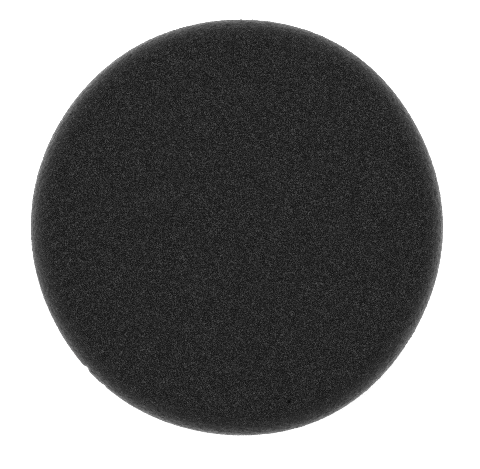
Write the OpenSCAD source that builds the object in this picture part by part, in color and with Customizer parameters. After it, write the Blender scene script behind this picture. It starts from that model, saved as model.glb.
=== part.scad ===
// Foam polishing pad for a hook-faced backing plate.
// Millimetres, +Z out of the working face.
// The origin is the centre of the loop face, where the pad meets the backing plate.

/* [Foam disc] */
// Diameter of the foam at its widest
foam_d = 150; // [75:5:200]
// Thickness of the foam
foam_t = 25; // [18:1:40]
// Radius of the rounded front edge, between the working face and the wall
front_edge_r = 10; // [3:0.5:12]
// Radius of the smaller rounding at the back edge
back_edge_r = 2.5; // [1:0.5:4]

/* [Hook-and-loop backing] */
// How far the backing stays inside the flat of the foam's back face
backing_inset = 0.5; // [0.5:0.5:8]
// Thickness of the hot-melt adhesive film that bonds the backing to the foam
film_t = 0.3; // [0.2:0.1:0.6]
// Thickness of the knitted ground cloth that carries the loops
cloth_t = 0.7; // [0.5:0.1:1.2]
// Height of the loop pile that the hooks catch
pile_t = 1.5; // [1:0.1:3]
// How far the outermost loops stand inside the cut edge of the ground cloth
pile_inset = 0.4; // [0:0.1:1]

/* [Hidden] */
$fn = 96;

foam_r = foam_d / 2;
backing_r = foam_r - back_edge_r - backing_inset;

// Heights of the layers' lower faces, from the loop face up
cloth_z = pile_t;
film_z = cloth_z + cloth_t;
foam_z = film_z + film_t;

// One flat layer of the backing: a die-cut disc of radius r whose lower face is at height z
module layer(z, r, t) {
    translate([0, 0, z])
        cylinder(h = t, r = r);
}

// Half of the foam's section, from its axis out, with both outer corners rounded
module foam_section() {
    square([foam_r - front_edge_r, foam_t]);
    square([foam_r - back_edge_r, foam_t - front_edge_r]);
    translate([0, back_edge_r])
        square([foam_r, foam_t - front_edge_r - back_edge_r]);
    translate([foam_r - front_edge_r, foam_t - front_edge_r])
        circle(r = front_edge_r);
    translate([foam_r - back_edge_r, back_edge_r])
        circle(r = back_edge_r);
}

// The open-cell foam body: flat working face in front, upright wall, flat back
module foam_disc() {
    color("#292929")
        translate([0, 0, foam_z])
            rotate_extrude()
                foam_section();
}

// The thin film of hot-melt adhesive between the foam and the cloth
module adhesive_film() {
    color("#d8d2bd")
        layer(film_z, backing_r, film_t);
}

// The knitted ground cloth of the loop fabric
module ground_cloth() {
    color("#8f9194")
        layer(cloth_z, backing_r, cloth_t);
}

// The loops of the loop fabric, as one solid that fills the pile's height
module loop_pile() {
    color("#b5b7ba")
        layer(0, backing_r - pile_inset, pile_t);
}

foam_disc();
adhesive_film();
ground_cloth();
loop_pile();
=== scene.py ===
"""The looks of a foam polishing pad, built round its CAD frame. Lengths are in metres.

The pad lies on its loop backing with the foam working face up, and the camera looks straight down on it.
"""

import math

import bpy
import numpy as np
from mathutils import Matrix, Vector
from mathutils.geometry import delaunay_2d_cdt


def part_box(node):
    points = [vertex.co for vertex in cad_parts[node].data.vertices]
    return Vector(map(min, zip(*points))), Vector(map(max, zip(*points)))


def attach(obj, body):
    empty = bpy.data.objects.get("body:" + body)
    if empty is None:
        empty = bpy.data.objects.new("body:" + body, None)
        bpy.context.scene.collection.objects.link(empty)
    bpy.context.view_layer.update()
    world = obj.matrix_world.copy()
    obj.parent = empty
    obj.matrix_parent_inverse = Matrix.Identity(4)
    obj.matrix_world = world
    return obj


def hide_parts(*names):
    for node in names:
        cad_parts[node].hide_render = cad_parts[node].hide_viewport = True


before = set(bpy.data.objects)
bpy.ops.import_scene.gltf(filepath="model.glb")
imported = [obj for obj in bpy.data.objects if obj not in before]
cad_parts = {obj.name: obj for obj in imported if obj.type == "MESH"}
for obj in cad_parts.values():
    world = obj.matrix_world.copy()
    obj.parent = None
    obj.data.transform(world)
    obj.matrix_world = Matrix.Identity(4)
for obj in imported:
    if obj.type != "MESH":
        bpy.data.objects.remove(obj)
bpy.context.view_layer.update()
random = np.random.default_rng(150)

MM = 0.001
FULL_TURN = 2 * math.pi

foam_low, foam_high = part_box("foam_disc")
film_low, film_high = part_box("adhesive_film")
cloth_low, cloth_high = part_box("ground_cloth")
pile_low, pile_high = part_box("loop_pile")
FOAM_R = foam_high.x
BACKING_R = cloth_high.x
PILE_R = pile_high.x


# ---------------------------------------------------------------- sizes of the foam

# The foam's section, as in the CAD model: its rounded edges, and what they leave of the face and the wall
FRONT_EDGE_R = 10 * MM
BACK_EDGE_R = 2.5 * MM
FLAT_R = FOAM_R - FRONT_EDGE_R
WALL_H = foam_high.z - foam_low.z - FRONT_EDGE_R - BACK_EDGE_R
# Distances along the skin from the centre of the face: to the top of the wall, and to the back face
WALL_START = FLAT_R + FRONT_EDGE_R * math.pi / 2
SKIN_REACH = WALL_START + WALL_H + BACK_EDGE_R * math.pi / 2

# The foam's skin: pore floors and strut tops scattered over a jittered square lattice
SKIN_PITCH = 0.585 * MM
# How far a point strays from its place in the lattice, as a share of the pitch
SKIN_JITTER = 0.38
# The share of the skin's points that are pore floors, the range of their depths, and the least share of that
# range that a pore uses
PORE_SHARE = 0.5
PORE_DEPTH = (0.05 * MM, 0.14 * MM)
PORE_LEAST = 0.35
# How far strut tops usually stray from the skin, the share of them that stand up as tufts, and how far
STRUT_RISE = 0.025 * MM
TUFT_SHARE = 0.015
TUFT_RISE = (0.08 * MM, 0.22 * MM)
# The gap between points of the ring where the skin meets the back face
SKIN_RIM_PITCH = 1.3 * SKIN_PITCH
# How far the lattice stays clear of that ring and of the blown cell
RIM_CLEARANCE = 0.6 * SKIN_PITCH
HOLE_CLEARANCE = 0.3 * SKIN_PITCH

# How the cut outline strays from a circle: waves round the rim, amplitude, and one crest's place in degrees
OUTLINE_WAVES = [(2, 0.50 * MM, 90), (3, 0.27 * MM, 55), (5, 0.12 * MM, 1), (6, 0.19 * MM, -2)]
# The waves and the nicks leave the face alone inside this share of the foam's radius.
WAVES_START = 0.8
# Nicks in the rim: where in degrees, how deep, and their half width
NICKS = [(223, 0.66 * MM, 0.9 * MM), (230, 0.32 * MM, 0.7 * MM)]
# Heights between which a nick grows to its full depth, and between which it ends again
NICK_FOOT = (12.5 * MM, 16 * MM)
NICK_HEAD = (19.5 * MM, 24 * MM)

# The one blown cell on the face
BLOW_HOLE = (18.4 * MM, -62.0 * MM)
BLOW_HOLE_R = 0.80 * MM
BLOW_HOLE_DEPTH = 2.2 * MM
# Its rings from the rim inwards: share of its radius, number of points, share of its depth
BLOW_HOLE_RINGS = [(1.0, 14, 0.0), (0.86, 12, 0.8), (0.5, 6, 1.0)]

# The map reaches this many times as far as the skin laid flat
MAP_MARGIN = 1.02


# ---------------------------------------------------------------- sizes of the backing

# A disc's flat side is filled by rings of points. Each gap between rings is this many times as wide as the
# last, and no ring has fewer points than this.
RING_GROWTH = 1.5
RING_FEWEST = 6
# The first gap and the widest one: on the back of the foam, in the adhesive and on the back of the knit
FOAM_GAPS = (1.2 * MM, 6 * MM)
FILM_GAPS = (1.5 * MM, 8 * MM)
KNIT_GAPS = (2 * MM, 8 * MM)
# The numbers of waves that a cut edge wanders in, all at once
WANDER_WAVES = range(2, 14)

# The adhesive's squeezed-out edge: its points, how far it reaches past the backing, how far it wanders,
# its random steps, and how far it stands out halfway up
BEAD_POINTS = 540
BEAD_REACH = 0.10 * MM
BEAD_WANDER = 0.07 * MM
BEAD_STEPS = 0.03 * MM
BEAD_BULGE = 0.08 * MM

# The knit's die-cut edge, in the same order, but that it stops short of the backing's radius
KNIT_POINTS = 600
KNIT_TRIM = 0.05 * MM
KNIT_WANDER = 0.05 * MM
KNIT_STEPS = 0.07 * MM
KNIT_BULGE = 0.06 * MM

# The knit's ribs along Y, a wale apart, with a furrow between each two
WALE_PITCH = 1.5 * MM
HALF_WALE = WALE_PITCH / 2
FURROW_DEPTH = 0.16 * MM
KNIT_ROUGHNESS = 0.04 * MM
# Shares of half a wale: how far each column of points lies past the one before it, in turns of four columns,
# how far a point strays from its place, and how far the points stay clear of the edge
KNIT_SLANT = 0.25
KNIT_JITTER = 0.12
KNIT_CLEARANCE = 0.7

# The loops stand in rows, one row to a wale
LOOP_PITCH = 1.45 * MM
# How far a loop strays from its place: a share of the wale across the row, and of the loop pitch along it
LOOP_JITTER = (0.22, 0.30)
LOOP_HALF_WIDTH = (0.45 * MM, 0.80 * MM)
# How far a loop is turned from its row: the mean and the spread, in radians
LOOP_TURN = (0.35, 0.55)
# No loop leans by more than this many times the usual lean
MOST_LEAN = 2
# How deep in the knit a loop's feet stand
LOOP_ROOT = 0.22 * MM
# How much a loop swells above its feet, and the power that squares its crown
LOOP_SWELL = 0.55
LOOP_CROWN = 0.8
# The yarn's radius, its sides, its steps from foot to foot, and its clearance from the pile's face in radii
YARN_R = 0.18 * MM
YARN_SIDES = 3
LOOP_STEPS = 8
YARN_CLEARANCE = 1.05
# The part that a loop takes up of its own cell in the map
CELL_SPAN = (0.1, 0.9)


# ---------------------------------------------------------------- meshes

def mesh_piece(name, points, faces, material):
    """A new mesh object of these points and triangles, smooth shaded, in the row frame."""
    mesh = bpy.data.meshes.new(name)
    mesh.vertices.add(len(points))
    mesh.vertices.foreach_set("co", np.asarray(points, np.float32).ravel())
    mesh.loops.add(3 * len(faces))
    mesh.loops.foreach_set("vertex_index", np.asarray(faces, np.int32).ravel())
    mesh.polygons.add(len(faces))
    mesh.polygons.foreach_set("loop_start", np.arange(0, 3 * len(faces), 3, dtype=np.int32))
    mesh.polygons.foreach_set("loop_total", np.full(len(faces), 3, np.int32))
    mesh.polygons.foreach_set("use_smooth", np.full(len(faces), True))
    mesh.update(calc_edges=True)
    mesh.materials.append(material)
    piece = bpy.data.objects.new(name, mesh)
    bpy.context.scene.collection.objects.link(piece)
    return piece


def bake_map(piece, spots):
    """Gives every vertex its own spot, from 0 to 1 each way, in the map that holds baked colours."""
    layer = piece.data.uv_layers.new(name="OFBake")
    corners = np.zeros(len(piece.data.loops), np.int32)
    piece.data.loops.foreach_get("vertex_index", corners)
    layer.data.foreach_set("uv", np.asarray(spots, np.float32)[corners].ravel())


def point_values(piece, name, values):
    """Gives every vertex a number that the piece's material reads by this name."""
    layer = piece.data.attributes.new(name, "FLOAT", "POINT")
    layer.data.foreach_set("value", np.asarray(values, np.float32))


def triangles_over(points, rim):
    """Delaunay triangles over points in a plane, each turning anticlockwise.

    The first rim points are a ring round the others, anticlockwise, and nothing outside it is kept."""
    edges = [(i, (i + 1) % rim) for i in range(rim)]
    made = np.array(delaunay_2d_cdt([Vector(p) for p in points], edges, [], 0, 1e-12, False)[2])
    # A triangle with all its corners on the ring lies inside if they follow one another as the ring does.
    first = made.argmin(axis=1)
    rows = np.arange(len(made))
    outside = (made < rim).all(axis=1) & (made[rows, (first + 1) % 3] > made[rows, (first + 2) % 3])
    return made[~outside]


def grid(columns, rows):
    """Every pairing of a column with a row, as two flat arrays."""
    x, y = np.meshgrid(columns, rows)
    return x.ravel(), y.ravel()


def whole_numbers(limit):
    """The whole numbers from -limit to limit."""
    return np.arange(-limit, limit + 1)


def ring(radius, count, turn=0.0):
    """Points evenly spaced on a circle about the origin."""
    angle = turn + np.arange(count) * FULL_TURN / count
    return radius * np.stack([np.cos(angle), np.sin(angle)], axis=1)


def ease(x, low, high):
    """0 below low and 1 above high, with a smooth rise between."""
    t = np.clip((x - low) / (high - low), 0, 1)
    return t * t * (3 - 2 * t)


def at_height(flat, z):
    return np.column_stack([flat, np.full(len(flat), z)])


def plain_disc(rim, first_gap, widest_gap):
    """Points inside a ring, in rings that grow coarser inwards, and the triangles over the ring and them."""
    radius = np.hypot(*rim.T).mean()
    gap = first_gap
    inner = []
    while radius > 2 * gap:
        radius -= gap
        gap = min(RING_GROWTH * gap, widest_gap)
        inner.append(ring(radius, max(RING_FEWEST, int(FULL_TURN * radius / gap))))
    inner = np.concatenate(inner + [np.zeros((1, 2))])
    return inner, triangles_over(np.concatenate([rim, inner]), len(rim))


# ---------------------------------------------------------------- the foam

def foam_section(s):
    """Radius, height and outward direction (out, up) at distance s along the skin from the face's centre."""
    front = np.clip((s - FLAT_R) / FRONT_EDGE_R, 0, math.pi / 2)
    back = np.clip((s - WALL_START - WALL_H) / BACK_EDGE_R, 0, math.pi / 2)
    radius = np.minimum(s, FLAT_R) + FRONT_EDGE_R * np.sin(front) - BACK_EDGE_R * (1 - np.cos(back))
    height = (foam_high.z - FRONT_EDGE_R * (1 - np.cos(front))
              - np.clip(s - WALL_START, 0, WALL_H) - BACK_EDGE_R * np.sin(back))
    return radius, height, np.sin(front + back), np.cos(front + back)


def outline_shift(angle, height):
    """How far the rim stands out from its circle at an angle in radians.

    The waves run down the whole wall, and a nick is only round the widest part of the rim."""
    shift = sum(size * np.cos(n * (angle - math.radians(crest))) for n, size, crest in OUTLINE_WAVES)
    tall = ease(height, *NICK_FOOT) - ease(height, *NICK_HEAD)
    for where, depth, half in NICKS:
        away = (angle - math.radians(where) + math.pi) % FULL_TURN - math.pi
        shift = shift - depth * np.exp(-(away * FOAM_R / half) ** 2) * tall
    return shift


def foam_skin():
    """The skin laid flat: its points, how deep each lies in a pore from 0 to 1, and its lift in metres.

    The first points are the ring where the skin meets the back face, and the last result is their number."""
    steps = whole_numbers(int(SKIN_REACH / SKIN_PITCH) + 2)
    flat = np.stack(grid(steps, steps), axis=1) * SKIN_PITCH
    count = len(flat)
    flat += random.uniform(-SKIN_JITTER, SKIN_JITTER, flat.shape) * SKIN_PITCH
    pore = (random.random(count) < PORE_SHARE) * random.uniform(PORE_LEAST, 1.0, count)
    depth = PORE_DEPTH[0] + pore * (PORE_DEPTH[1] - PORE_DEPTH[0])
    lift = np.where(pore > 0, -depth, random.normal(0, STRUT_RISE, count))
    tuft = (pore == 0) & (random.random(count) < TUFT_SHARE)
    lift = lift + tuft * random.uniform(*TUFT_RISE, count)

    keep = np.hypot(*flat.T) < SKIN_REACH - RIM_CLEARANCE
    keep &= np.hypot(*(flat - BLOW_HOLE).T) > BLOW_HOLE_R + HOLE_CLEARANCE
    flat, pore, lift = flat[keep], pore[keep], lift[keep]
    for share, points, sunk in BLOW_HOLE_RINGS:
        # Each ring is turned by a little, so that its points don't line up with the next one's.
        flat = np.concatenate([flat, ring(share * BLOW_HOLE_R, points, turn=share) + BLOW_HOLE])
        # The share of its depth is also how deep the point lies in a pore, which the material paints darker
        # as shade.
        pore = np.append(pore, np.full(points, sunk))
        lift = np.append(lift, np.full(points, -BLOW_HOLE_DEPTH * sunk))

    rim = int(FULL_TURN * (FOAM_R - BACK_EDGE_R) / SKIN_RIM_PITCH)
    none = np.zeros(rim)
    flat = np.concatenate([ring(SKIN_REACH, rim), flat])
    return flat, np.append(none, pore), np.append(none, lift), rim


def foam_body(material):
    """The foam: one closed mesh, pored all over its face, rim and wall, and plain on its bonded back."""
    flat, pore, lift, rim = foam_skin()
    faces = triangles_over(flat, rim)
    s, angle = np.hypot(*flat.T), np.arctan2(flat[:, 1], flat[:, 0])
    radius, height, out, up = foam_section(s)
    shift = outline_shift(angle, height) * ease(radius, WAVES_START * FOAM_R, FOAM_R)
    radius = radius + lift * out + shift
    height = height + lift * up
    skin = np.stack([radius * np.cos(angle), radius * np.sin(angle), height], axis=1)

    inner, back_faces = plain_disc(skin[:rim, :2], *FOAM_GAPS)
    back_faces = np.where(back_faces < rim, back_faces, back_faces + len(skin) - rim)[:, ::-1]
    points = np.concatenate([skin, at_height(inner, foam_low.z)])

    piece = mesh_piece("foam_body", points, np.concatenate([faces, back_faces]), material)
    # How deep each point lies in a pore, which the material reads to paint shade at the pore floors. The
    # back face has none.
    point_values(piece, "pore", np.append(pore, np.zeros(len(inner))))
    # The skin fills the map. The back face is hidden, so its points share the skin's spots.
    spots = np.concatenate([flat, inner * SKIN_REACH / FOAM_R])
    bake_map(piece, 0.5 + spots / (2 * MAP_MARGIN * SKIN_REACH))
    return piece


# ---------------------------------------------------------------- the backing

def slab(name, low, low_faces, high, high_faces, rim, bulge, material):
    """A closed thin disc: a lower and an upper sheet, and a wall between their rims.

    The first rim points of each sheet are its rim, and bulge is how far the wall stands out halfway up."""
    middle = (low[:rim] + high[:rim]) / 2
    middle[:, :2] *= 1 + bulge / np.hypot(*middle[:, :2].T).mean()
    points = np.concatenate([low, high, middle])
    here = np.arange(rim)
    after = np.roll(here, -1)
    walls = []
    rows = [here, here + len(low) + len(high), here + len(low)]
    for below, above in zip(rows[:-1], rows[1:]):
        walls.append(np.stack([below, below[after], above[after]], axis=1))
        walls.append(np.stack([below, above[after], above], axis=1))
    faces = np.concatenate([low_faces[:, ::-1], high_faces + len(low), *walls])
    return mesh_piece(name, points, faces, material)


def wavy_ring(radius, count, wander, steps):
    """A ring of points whose radius strays in waves of about wander, and in random steps of up to steps."""
    angle = np.arange(count) * FULL_TURN / count
    shift = sum(random.normal(0, wander / 2) * np.cos(n * angle + random.uniform(0, FULL_TURN))
                for n in WANDER_WAVES)
    return ring(1, count) * (radius + shift + random.uniform(-steps, steps, count))[:, None]


def adhesive(material):
    """The hot-melt film, whose edge is squeezed out into an uneven bead under the foam."""
    rim = wavy_ring(BACKING_R + BEAD_REACH, BEAD_POINTS, BEAD_WANDER, BEAD_STEPS)
    inner, faces = plain_disc(rim, *FILM_GAPS)
    flat = np.concatenate([rim, inner])
    return slab("adhesive_bead", at_height(flat, film_low.z), faces, at_height(flat, film_high.z), faces,
                len(rim), BEAD_BULGE, material)


def ground(material):
    """The knitted ground: ribs along Y on the side that the loops stand on, and a die-cut edge."""
    rim = wavy_ring(BACKING_R - KNIT_TRIM, KNIT_POINTS, KNIT_WANDER, KNIT_STEPS)
    steps = whole_numbers(int(BACKING_R / HALF_WALE) + 1)
    column, row = grid(steps, steps)
    y = row * WALE_PITCH + (column % 4) * KNIT_SLANT * HALF_WALE
    ribbed = np.stack([column * HALF_WALE, y], axis=1)
    ribbed += random.uniform(-KNIT_JITTER, KNIT_JITTER, ribbed.shape) * HALF_WALE
    inside = np.hypot(*ribbed.T) < BACKING_R - KNIT_CLEARANCE * HALF_WALE
    furrow = np.where(column % 2 == 0, 0.0, FURROW_DEPTH)[inside]
    furrow += random.uniform(0, KNIT_ROUGHNESS, len(furrow))

    low = at_height(np.concatenate([rim, ribbed[inside]]), cloth_low.z)
    low[len(rim):, 2] += furrow
    low_faces = triangles_over(low[:, :2], len(rim))
    inner, high_faces = plain_disc(rim, *KNIT_GAPS)
    high = at_height(np.concatenate([rim, inner]), cloth_high.z)
    return slab("knit_ground", low, low_faces, high, high_faces, len(rim), KNIT_BULGE, material)


def loop_places(parity):
    """Where the loops of every second row stand, and half the width of each."""
    rows = whole_numbers(int(PILE_R / WALE_PITCH) + 1)
    rows = rows[rows % 2 == parity]
    steps = whole_numbers(int(PILE_R / LOOP_PITCH) + 1)
    x, y = grid(rows * WALE_PITCH, steps * LOOP_PITCH)
    x = x + random.uniform(-LOOP_JITTER[0], LOOP_JITTER[0], len(x)) * WALE_PITCH
    y = y + random.uniform(-LOOP_JITTER[1], LOOP_JITTER[1], len(y)) * LOOP_PITCH
    half_width = random.uniform(*LOOP_HALF_WIDTH, len(x))
    keep = np.hypot(x, y) + half_width < PILE_R
    return x[keep], y[keep], half_width[keep]


def loop_lines(parity, height, lean):
    """The yarn's middle line in each loop, and the direction square to each loop's plane."""
    x, y, half_width = loop_places(parity)
    count = len(x)
    # Each loop lies in a plane through two directions: along, which is level, and down, which leans.
    turn = random.normal(*LOOP_TURN, count)
    along = np.stack([np.sin(turn), np.cos(turn), np.zeros(count)], axis=1)
    tilt = np.clip(random.normal(0, lean, count), -MOST_LEAN * lean, MOST_LEAN * lean)
    side = np.stack([along[:, 1], -along[:, 0], np.zeros(count)], axis=1)
    down = side * np.sin(tilt)[:, None] - np.array([0, 0, 1]) * np.cos(tilt)[:, None]

    root_z = cloth_low.z + LOOP_ROOT
    room = root_z - pile_low.z - YARN_R * YARN_CLEARANCE
    reach = room * random.uniform(height, 1.0, count) / np.cos(tilt)
    t = np.linspace(0, math.pi, LOOP_STEPS + 1)
    u = -np.cos(t) * (1 + LOOP_SWELL * np.sin(t))
    v = np.sin(t) ** LOOP_CROWN
    root = np.stack([x, y, np.full(count, root_z)], axis=1)
    line = (root[:, None] + (half_width[:, None] * u)[..., None] * along[:, None]
            + (reach[:, None] * v)[..., None] * down[:, None])
    return line, np.cross(along, down)


def yarn_points(line, across):
    """The corners of the yarn round each loop's middle line."""
    forward = np.gradient(line, axis=1)
    forward /= np.linalg.norm(forward, axis=2, keepdims=True)
    normal = np.cross(across[:, None], forward)
    phase = np.arange(YARN_SIDES) * FULL_TURN / YARN_SIDES
    tube = (line[:, :, None] + YARN_R * (np.cos(phase)[:, None] * across[:, None, None]
                                         + np.sin(phase)[:, None] * normal[:, :, None]))
    return tube.reshape(-1, 3)


def yarn_faces(count):
    """The triangles of so many loops, each a closed tube."""
    corner = np.arange(YARN_SIDES)
    starts = np.arange(LOOP_STEPS)[:, None] * YARN_SIDES
    here = (starts + corner).ravel()
    beside = (starts + np.roll(corner, -1)).ravel()
    last = LOOP_STEPS * YARN_SIDES
    caps = np.array([[0, 1, 2], [last, last + 2, last + 1]])
    one = np.concatenate([np.stack([here, beside + YARN_SIDES, beside], axis=1),
                          np.stack([here, here + YARN_SIDES, beside + YARN_SIDES], axis=1), caps])
    # The same again for each loop
    starts = np.arange(count)[:, None, None] * (last + YARN_SIDES)
    return (one[None] + starts).reshape(-1, 3)


def loop_rows(name, parity, height, lean, material):
    """Every second row of the pile: small arches of yarn that stand in the knit, as far as the pile's face.

    height is the share of the full height that the lowest has, and lean is how far they lean, in radians.
    """
    line, across = loop_lines(parity, height, lean)
    count = len(line)
    piece = mesh_piece(name, yarn_points(line, across), yarn_faces(count), material)
    per_loop = (LOOP_STEPS + 1) * YARN_SIDES
    point_values(piece, "tone", np.repeat(random.uniform(0, 1, count), per_loop))
    # Each loop has its own cell in the map: along the yarn one way and round it the other.
    cells = math.ceil(math.sqrt(count))
    corner = np.stack([np.arange(count) % cells, np.arange(count) // cells], axis=1)
    spot = grid(np.linspace(*CELL_SPAN, YARN_SIDES), np.linspace(*CELL_SPAN, LOOP_STEPS + 1))
    bake_map(piece, ((corner[:, None] + np.stack(spot, axis=1)) / cells).reshape(-1, 2))
    return piece


# ---------------------------------------------------------------- materials

class Shader:
    """A node material under construction: node() adds a node, links its inputs and sets its values."""

    def __init__(self, name):
        self.material = bpy.data.materials.new(name)
        self.material.use_nodes = True
        self.tree = self.material.node_tree
        self.tree.nodes.clear()
        self.place = self.node("ShaderNodeTexCoord").outputs["Object"]

    def node(self, kind, inputs=None, **settings):
        """A new node. inputs are its sockets by name or number, each with a socket to link or a value."""
        made = self.tree.nodes.new(kind)
        for name, value in settings.items():
            setattr(made, name, value)
        for name, value in (inputs or {}).items():
            if isinstance(value, bpy.types.NodeSocket):
                self.tree.links.new(value, made.inputs[name])
            else:
                made.inputs[name].default_value = value
        return made

    def maths(self, operation, *values, clamp=False):
        inputs = dict(enumerate(values))
        return self.node("ShaderNodeMath", inputs, operation=operation, use_clamp=clamp).outputs[0]

    def ramp(self, value, low, high, to_low=0.0, to_high=1.0):
        """value carried smoothly from low..high to to_low..to_high."""
        inputs = {"Value": value, "From Min": low, "From Max": high, "To Min": to_low, "To Max": to_high}
        return self.node("ShaderNodeMapRange", inputs, interpolation_type="SMOOTHSTEP").outputs["Result"]

    def attribute(self, name):
        """The number that each vertex has by this name."""
        return self.node("ShaderNodeAttribute", attribute_name=name).outputs["Fac"]

    def wave(self, along, pitch):
        """A smooth wave from 0 to 1 and back in each pitch."""
        turn = self.maths("MULTIPLY", along, FULL_TURN / pitch)
        return self.maths("MULTIPLY_ADD", self.maths("COSINE", turn), -0.5, 0.5)

    def cells(self, size):
        """Cells about this far apart, each with its own random number from 0 to 1."""
        inputs = {"Vector": self.place, "Scale": 1 / size}
        colour = self.node("ShaderNodeTexVoronoi", inputs).outputs["Color"]
        return self.node("ShaderNodeSeparateColor", {"Color": colour}).outputs[0]

    def web(self, size):
        """How far a point is from the nearest wall between cells of about this size, as a share of it."""
        inputs = {"Vector": self.place, "Scale": 1 / size}
        return self.node("ShaderNodeTexVoronoi", inputs, feature="DISTANCE_TO_EDGE").outputs["Distance"]

    def noise(self, size, detail=2.0):
        """Smooth noise whose blobs are about this large."""
        inputs = {"Vector": self.place, "Scale": 1 / size, "Detail": detail}
        return self.node("ShaderNodeTexNoise", inputs).outputs["Fac"]

    def blend(self, factor, first, second):
        """The colour first where factor is 0, second where it is 1, and a mix between."""
        # The Mix node has a set of sockets for each kind of value. These are its factor and its two colours.
        inputs = {0: factor, 6: first, 7: second}
        return self.node("ShaderNodeMix", inputs, data_type="RGBA", clamp_factor=True).outputs[2]

    def bump(self, height, distance, strength):
        inputs = {"Height": height, "Distance": distance, "Strength": strength}
        return self.node("ShaderNodeBump", inputs).outputs["Normal"]

    def finish(self, **inputs):
        """The material's Principled surface. Underscores in the names stand for spaces."""
        inputs = {name.replace("_", " "): value for name, value in inputs.items()}
        surface = self.node("ShaderNodeBsdfPrincipled", inputs)
        self.node("ShaderNodeOutputMaterial", {"Surface": surface.outputs["BSDF"]})
        return self.material


def grey(value):
    return (value, value, value, 1.0)


# The foam's finest cells, and the ends of single struts with painted glints, which are in the material only
FINE_CELL = 0.50 * MM
GLINT = 0.20 * MM
# A painted glint's strength is a random number to this power, plus the least that a strut's end shows.
GLINT_POWER = 1.9
GLINT_LEAST = 0.06
# Painted shade: how much light is left in the openings between the struts, and on a strut at the floor of a
# pore
PAINTED_GAP_SHADE = 0.04
PAINTED_PORE_SHADE = 0.65
# A strut is full up to the first distance from the wall between two cells and gone at the second, in cells
STRUT_FADE = (0.02, 0.16)
# Slightly darker and lighter patches: their size, and their light
FOAM_PATCH = 2.8 * MM
PATCH_LIGHT = (0.94, 1.06)
STRUT_RELIEF = 0.20 * MM
STRUT_COLOUR = grey(0.0505)


def foam_material():
    """Black open-cell foam: strut tops with painted glints, round pores and openings painted dark as shade,
    with finer cells than those of the mesh.
    """
    shader = Shader("black_foam")
    # Struts at the floor of a pore, and in the blown cell, are painted darker, as the shade in these
    # hollows.
    pore_shade_and_relief = shader.ramp(shader.attribute("pore"), 0.0, 0.9, 1.0, PAINTED_PORE_SHADE)
    struts = shader.ramp(shader.web(FINE_CELL), *STRUT_FADE, 1.0, 0.0)
    # Painted glints: sparse bright specks on the strut ends, painted into the colour as highlights.
    painted_glint = shader.maths("ADD", shader.maths("POWER", shader.cells(GLINT), GLINT_POWER), GLINT_LEAST)
    patches = shader.ramp(shader.noise(FOAM_PATCH), 0.3, 0.7, *PATCH_LIGHT)
    # The openings between struts are painted nearly black, as the shade inside the open cells.
    struts_and_gap_shade = shader.ramp(struts, 0.0, 1.0, PAINTED_GAP_SHADE, 1.0)
    # light holds the painted shade of pores and openings, the painted glints and the random patches.
    light = shader.maths("MULTIPLY", shader.maths("MULTIPLY", struts_and_gap_shade, painted_glint),
                         shader.maths("MULTIPLY", pore_shade_and_relief, patches))
    colour = shader.blend(light, grey(0.0), STRUT_COLOUR)
    relief = shader.bump(shader.maths("MULTIPLY", struts, pore_shade_and_relief), STRUT_RELIEF, strength=0.3)
    return shader.finish(Base_Color=colour, Roughness=0.92, Normal=relief, Specular_IOR_Level=0.02,
                         Sheen_Weight=0.36, Sheen_Roughness=0.42, Sheen_Tint=grey(0.8))


# The adhesive's thick and thin patches and its ripples
FILM_PATCH = 3 * MM
FILM_RIPPLE = 0.7 * MM
RIPPLE_RELIEF = 0.05 * MM
THIN_FILM = (0.34, 0.32, 0.26, 1)
THICK_FILM = (0.52, 0.49, 0.40, 1)


def adhesive_material():
    """Set hot-melt: milky, a little yellow, glossier where it is thick."""
    shader = Shader("hot_melt")
    thick = shader.ramp(shader.noise(FILM_PATCH, detail=3.0), 0.35, 0.65)
    colour = shader.blend(thick, THIN_FILM, THICK_FILM)
    roughness = shader.ramp(thick, 0.0, 1.0, 0.42, 0.26)
    relief = shader.bump(shader.noise(FILM_RIPPLE), RIPPLE_RELIEF, strength=0.6)
    return shader.finish(Base_Color=colour, Roughness=roughness, Normal=relief)


# The knit's stitches: how far apart they are along a rib, and how steeply they slant across it
STITCH_PITCH = 0.55 * MM
STITCH_SLANT = 0.9
# Its darker and lighter patches, its fibres, and the height of its stitches
KNIT_PATCH = 4 * MM
KNIT_FIBRE = 0.14 * MM
STITCH_RELIEF = 0.15 * MM
KNIT_SHADE = (0.075, 0.078, 0.082, 1)
KNIT_COLOUR = (0.34, 0.35, 0.36, 1)


def knit_material():
    """Warp-knitted nylon ground: slanting stitches down each rib, darker between the ribs."""
    shader = Shader("knit_ground")
    x, y, _ = shader.node("ShaderNodeSeparateXYZ", {"Vector": shader.place}).outputs
    rib = shader.ramp(shader.wave(x, WALE_PITCH), 0.0, 0.8, 0.4, 1.0)
    across = shader.maths("MULTIPLY", shader.maths("PINGPONG", x, HALF_WALE), STITCH_SLANT)
    stitch = shader.wave(shader.maths("ADD", y, across), STITCH_PITCH)
    yarn = shader.maths("MULTIPLY", rib, shader.ramp(stitch, 0.0, 0.7, 0.55, 1.0))
    patches = shader.ramp(shader.noise(KNIT_PATCH, detail=4.0), 0.3, 0.7, 0.85, 1.15)
    fibres = shader.ramp(shader.noise(KNIT_FIBRE, detail=3.0), 0.35, 0.65, 0.6, 1.25)
    stitches = shader.maths("MULTIPLY", yarn, fibres)
    light = shader.maths("MULTIPLY", stitches, patches, clamp=True)
    colour = shader.blend(light, KNIT_SHADE, KNIT_COLOUR)
    relief = shader.bump(stitches, STITCH_RELIEF, strength=0.8)
    return shader.finish(Base_Color=colour, Roughness=0.85, Normal=relief,
                         Sheen_Weight=0.25, Sheen_Roughness=0.4)


# How much of a loop's lightness is its own tone and how much is its filaments
TONE_SHARE = 0.6
FILAMENT_SHARE = 0.4
FILAMENT = 0.11 * MM
FILAMENT_RELIEF = 0.03 * MM
DARKEST_LOOP = (0.23, 0.235, 0.245, 1)
LIGHTEST_LOOP = (0.52, 0.53, 0.55, 1)


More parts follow.
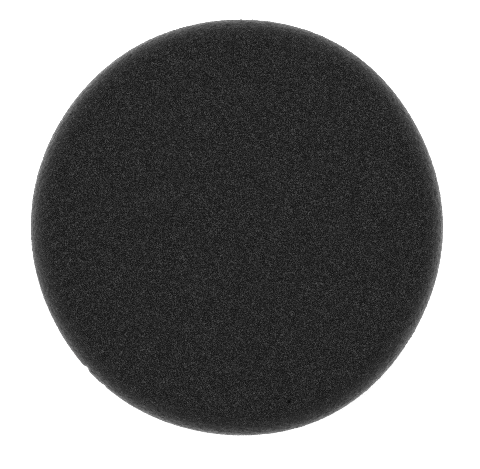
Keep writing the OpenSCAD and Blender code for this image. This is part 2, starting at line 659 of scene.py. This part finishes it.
def loop_material():
    """Brushed nylon yarn: each loop its own tone, with fine filaments along it."""
    shader = Shader("nylon_loops")
    filaments = shader.ramp(shader.noise(FILAMENT, detail=1.0), 0.3, 0.7)
    light = shader.maths("ADD", shader.maths("MULTIPLY", shader.attribute("tone"), TONE_SHARE),
                         shader.maths("MULTIPLY", filaments, FILAMENT_SHARE))
    colour = shader.blend(light, DARKEST_LOOP, LIGHTEST_LOOP)
    relief = shader.bump(filaments, FILAMENT_RELIEF, strength=0.7)
    return shader.finish(Base_Color=colour, Roughness=0.6, Normal=relief,
                         Sheen_Weight=0.3, Sheen_Roughness=0.35)


def floor_material():
    shader = Shader("pale_floor")
    tone = shader.ramp(shader.noise(60 * MM), 0.2, 0.8)
    return shader.finish(Base_Color=shader.blend(tone, grey(0.93), grey(0.95)), Roughness=0.6)


# ---------------------------------------------------------------- pieces

foam = foam_body(foam_material())
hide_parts("foam_disc")

bead = adhesive(adhesive_material())
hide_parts("adhesive_film")

cloth = ground(knit_material())
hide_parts("ground_cloth")

yarn = loop_material()
even_rows = loop_rows("loop_rows_even", parity=0, height=0.86, lean=0.28, material=yarn)
odd_rows = loop_rows("loop_rows_odd", parity=1, height=0.70, lean=0.45, material=yarn)
for rows in (even_rows, odd_rows):
    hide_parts("loop_pile")

for piece in (foam, bead, cloth, even_rows, odd_rows):
    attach(piece, "root")


# ---------------------------------------------------------------- stage

# The camera's lens and sensor, in millimetres
LENS = 100.0
SENSOR = 36.0
# The pad's centre in the picture, from the middle of it, and its radius, as shares of the picture's width
CENTRE_SHIFT = (-0.00554, 0.01498)
RADIUS_SHARE = 0.4308
FLOOR_SIZE = 2.2
# The lamps: name, width in metres, power in watts, and place
LAMPS = [
    ("overhead", 1.2, 19.0, (-0.15, 0.05, 1.8)),
    ("far_side", 0.35, 4.0, (0.14, 0.50, 0.50)),
    ("left", 0.3, 3.0, (-0.60, -0.10, 0.13)),
    ("right", 0.3, 1.5, (0.60, 0.15, 0.13)),
]


def floor():
    bpy.ops.mesh.primitive_plane_add(size=FLOOR_SIZE, location=(0, 0, 0))
    plane = bpy.context.object
    plane.name = "floor"
    plane.data.materials.append(floor_material())


def camera():
    """Straight above the pad, at the distance where its widest outline fills its share of the picture."""
    widest = foam_high.z - FRONT_EDGE_R
    distance = FOAM_R * LENS / SENSOR / RADIUS_SHARE
    across = SENSOR / LENS * distance
    data = bpy.data.cameras.new("camera")
    data.lens = LENS
    data.sensor_width = SENSOR
    made = bpy.data.objects.new("camera", data)
    made.location = (-CENTRE_SHIFT[0] * across, -CENTRE_SHIFT[1] * across, widest + distance)
    bpy.context.scene.collection.objects.link(made)
    bpy.context.scene.camera = made


def lamp(name, size, power, place):
    """A square soft light that faces the pad."""
    data = bpy.data.lights.new(name, "AREA")
    data.shape = "SQUARE"
    data.size = size
    data.energy = power
    made = bpy.data.objects.new(name, data)
    made.location = place
    made.rotation_mode = "QUATERNION"
    made.rotation_quaternion = (-Vector(place)).to_track_quat("-Z", "Y")
    bpy.context.scene.collection.objects.link(made)


def studio():
    """White light from all round and from the lamps, bright enough that the floor is plain white."""
    world = bpy.data.worlds.new("studio")
    world.use_nodes = True
    background = world.node_tree.nodes["Background"].inputs
    background["Color"].default_value = grey(1.0)
    background["Strength"].default_value = 1.0
    scene = bpy.context.scene
    scene.world = world
    scene.view_settings.view_transform = "Standard"
    # The foam's grain is finer than a pixel: a denoiser or a wide pixel filter would smear it.
    scene.cycles.use_denoising = False
    scene.cycles.filter_width = 1.0
    for each in LAMPS:
        lamp(*each)


floor()
camera()
studio()
